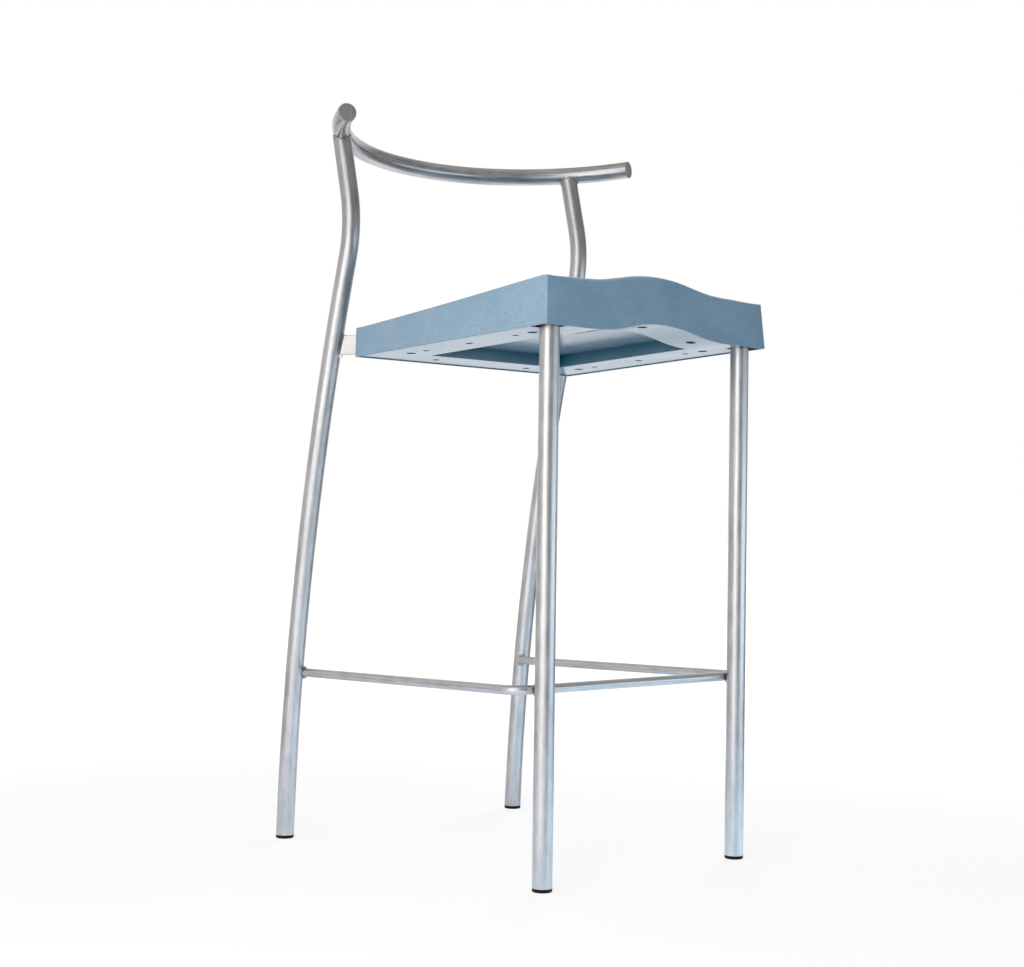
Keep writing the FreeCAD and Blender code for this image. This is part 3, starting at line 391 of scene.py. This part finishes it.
def studio_world():
    world = bpy.data.worlds.new("studio")
    world.use_nodes = True
    scene.world = world
    tree = world.node_tree
    way = add(tree, "ShaderNodeTexCoord").outputs["Generated"]
    height = split(tree, way)["Z"]
    left = remap(tree, dot(tree, way, LEFT_WAY), (-0.3, 0.8))
    behind = remap(tree, dot(tree, way, BACKDROP_WAY), (0.70, 0.88))
    level = remap(tree, maths(tree, "ABSOLUTE", height), (0.05, 0.25), (1.0, 0.0))

    right_wall = blend(tree, level, RIGHT_WALL, RIGHT_WALL_LEVEL)
    walls = blend(tree, left, right_wall, LEFT_WALL)
    room = blend(tree, remap(tree, height, (0.45, 0.95)), walls, CEILING)
    mirrored = blend(tree, behind, room, WHITE)
    camera, shown = shown_rays(tree)
    seen = blend(tree, camera, mirrored, WHITE)

    sides = blend(tree, left, RIGHT_LIGHT, LEFT_LIGHT)
    ambient = blend(tree, remap(tree, height, (0.1, 0.9), (0.0, 0.7)), sides, TOP_LIGHT)
    put(tree, tree.nodes["Background"].inputs["Color"], blend(tree, shown, ambient, seen))


def floor_toward(tree, where, reach, way, span):
    """The share of the floor that lies towards a way, leaving out the middle."""
    line = maths(tree, "DIVIDE", dot(tree, where, way), reach)
    off_centre = remap(tree, reach, (0.3, 0.9))
    return maths(tree, "MULTIPLY", remap(tree, line, span), off_centre)


def studio_floor():
    """A pale floor that shows as white and still takes the stool's soft shadow."""
    bpy.ops.mesh.primitive_plane_add(size=FLOOR_SIZE)
    floor = bpy.context.object
    floor.name = "floor"
    material, tree, shader = new_material("pale floor")
    camera, shown = shown_rays(tree)
    where = place(tree)
    reach = add(tree, "ShaderNodeVectorMath", {0: where}, operation="LENGTH").outputs["Value"]

    left = remap(tree, dot(tree, where, LEFT_WAY), (-0.6, 0.5))
    front = remap(tree, dot(tree, where, BACKDROP_WAY), (0.1, 0.5), (1.0, 0.0))
    near = maths(tree, "MULTIPLY", front, remap(tree, reach, (0.8, 1.5), (1.0, 0.0)))
    far_glow = blend(tree, left, FAR_RIGHT_FLOOR, FAR_LEFT_FLOOR)
    near_glow = blend(tree, left, NEAR_RIGHT_FLOOR, NEAR_LEFT_FLOOR)
    around = blend(tree, near, far_glow, near_glow)
    # Painted light: mirrored rays see a floor glow with a pool of light towards the key lamp and brightness
    # towards the backdrop.
    key_lit = blend(tree, floor_toward(tree, where, reach, KEY_WAY, (0.70, 0.95)), around, KEY_FLOOR)
    mirrored = blend(tree, floor_toward(tree, where, reach, BACKDROP_WAY, (0.78, 0.96)), key_lit, BACK_FLOOR)
    photographed = blend(tree, remap(tree, reach, (0.6, 2.2)), FLOOR_GLOW_NEAR, WHITE)

    fleck = noise(tree, where, 30.0, 4.0)
    put(tree, shader.inputs["Base Color"], blend(tree, shown, FLOOR_BOUNCE, FLOOR_SHOWN))
    put(tree, shader.inputs["Roughness"], remap(tree, fleck, (0.2, 0.8), (0.8, 0.95)))
    put(tree, shader.inputs["Emission Color"], blend(tree, camera, mirrored, photographed))
    put(tree, shader.inputs["Emission Strength"], shown)
    shader.inputs["Specular IOR Level"].default_value = 0.0
    floor.data.materials.append(material)


# Lamps, all aimed at the seat.
SEAT_MIDDLE = Vector((0.0, -0.05, 0.6))


def lamp(name, position, size, watts, colour, lights=True, mirrored=True):
    """A softbox that never shows itself, and that can light the stool, be mirrored in it, or both."""
    data = bpy.data.lights.new(name, "AREA")
    data.shape = "RECTANGLE"
    data.size, data.size_y = size
    data.energy = watts
    data.color = colour
    item = bpy.data.objects.new(name, data)
    item.location = position
    item.rotation_euler = (SEAT_MIDDLE - Vector(position)).to_track_quat("-Z", "Y").to_euler()
    item.visible_diffuse = lights
    item.visible_glossy = mirrored
    item.visible_camera = False
    scene.collection.objects.link(item)


def photo_camera():
    forward = Vector((
        math.sin(CAMERA_YAW) * math.cos(CAMERA_PITCH),
        math.cos(CAMERA_YAW) * math.cos(CAMERA_PITCH),
        math.sin(CAMERA_PITCH),
    ))
    level = Vector((math.cos(CAMERA_YAW), -math.sin(CAMERA_YAW), 0.0))
    down = forward.cross(level)
    right = level * math.cos(CAMERA_ROLL) + down * math.sin(CAMERA_ROLL)
    up = level * math.sin(CAMERA_ROLL) - down * math.cos(CAMERA_ROLL)
    data = bpy.data.cameras.new("photo camera")
    data.sensor_fit = "HORIZONTAL"
    data.sensor_width = SENSOR_MM
    data.lens = FOCAL_WIDTHS * SENSOR_MM
    item = bpy.data.objects.new("photo camera", data)
    turn = Matrix((right, up, -forward)).transposed()
    item.matrix_world = Matrix.Translation(CAMERA_PLACE) @ turn.to_4x4()
    scene.collection.objects.link(item)
    scene.camera = item


studio_world()
studio_floor()
lamp("key softbox", (-2.30, -0.90, 1.25), (1.8, 2.4), watts=18.0, colour=(1.0, 0.97, 0.93))
lamp("side window", (1.60, -2.65, 0.33), (3.2, 0.64), watts=14.5, colour=(0.64, 0.82, 1.0), lights=False)
lamp("corner fill", (-1.10, -0.90, 0.75), (0.5, 0.5), watts=5.4, colour=(1.0, 0.98, 0.95), mirrored=False)
lamp("far side fill", (1.40, 0.75, 0.95), (0.8, 0.8), watts=11.0, colour=(1.0, 0.98, 0.96), mirrored=False)
photo_camera()
scene.view_settings.view_transform = "Standard"
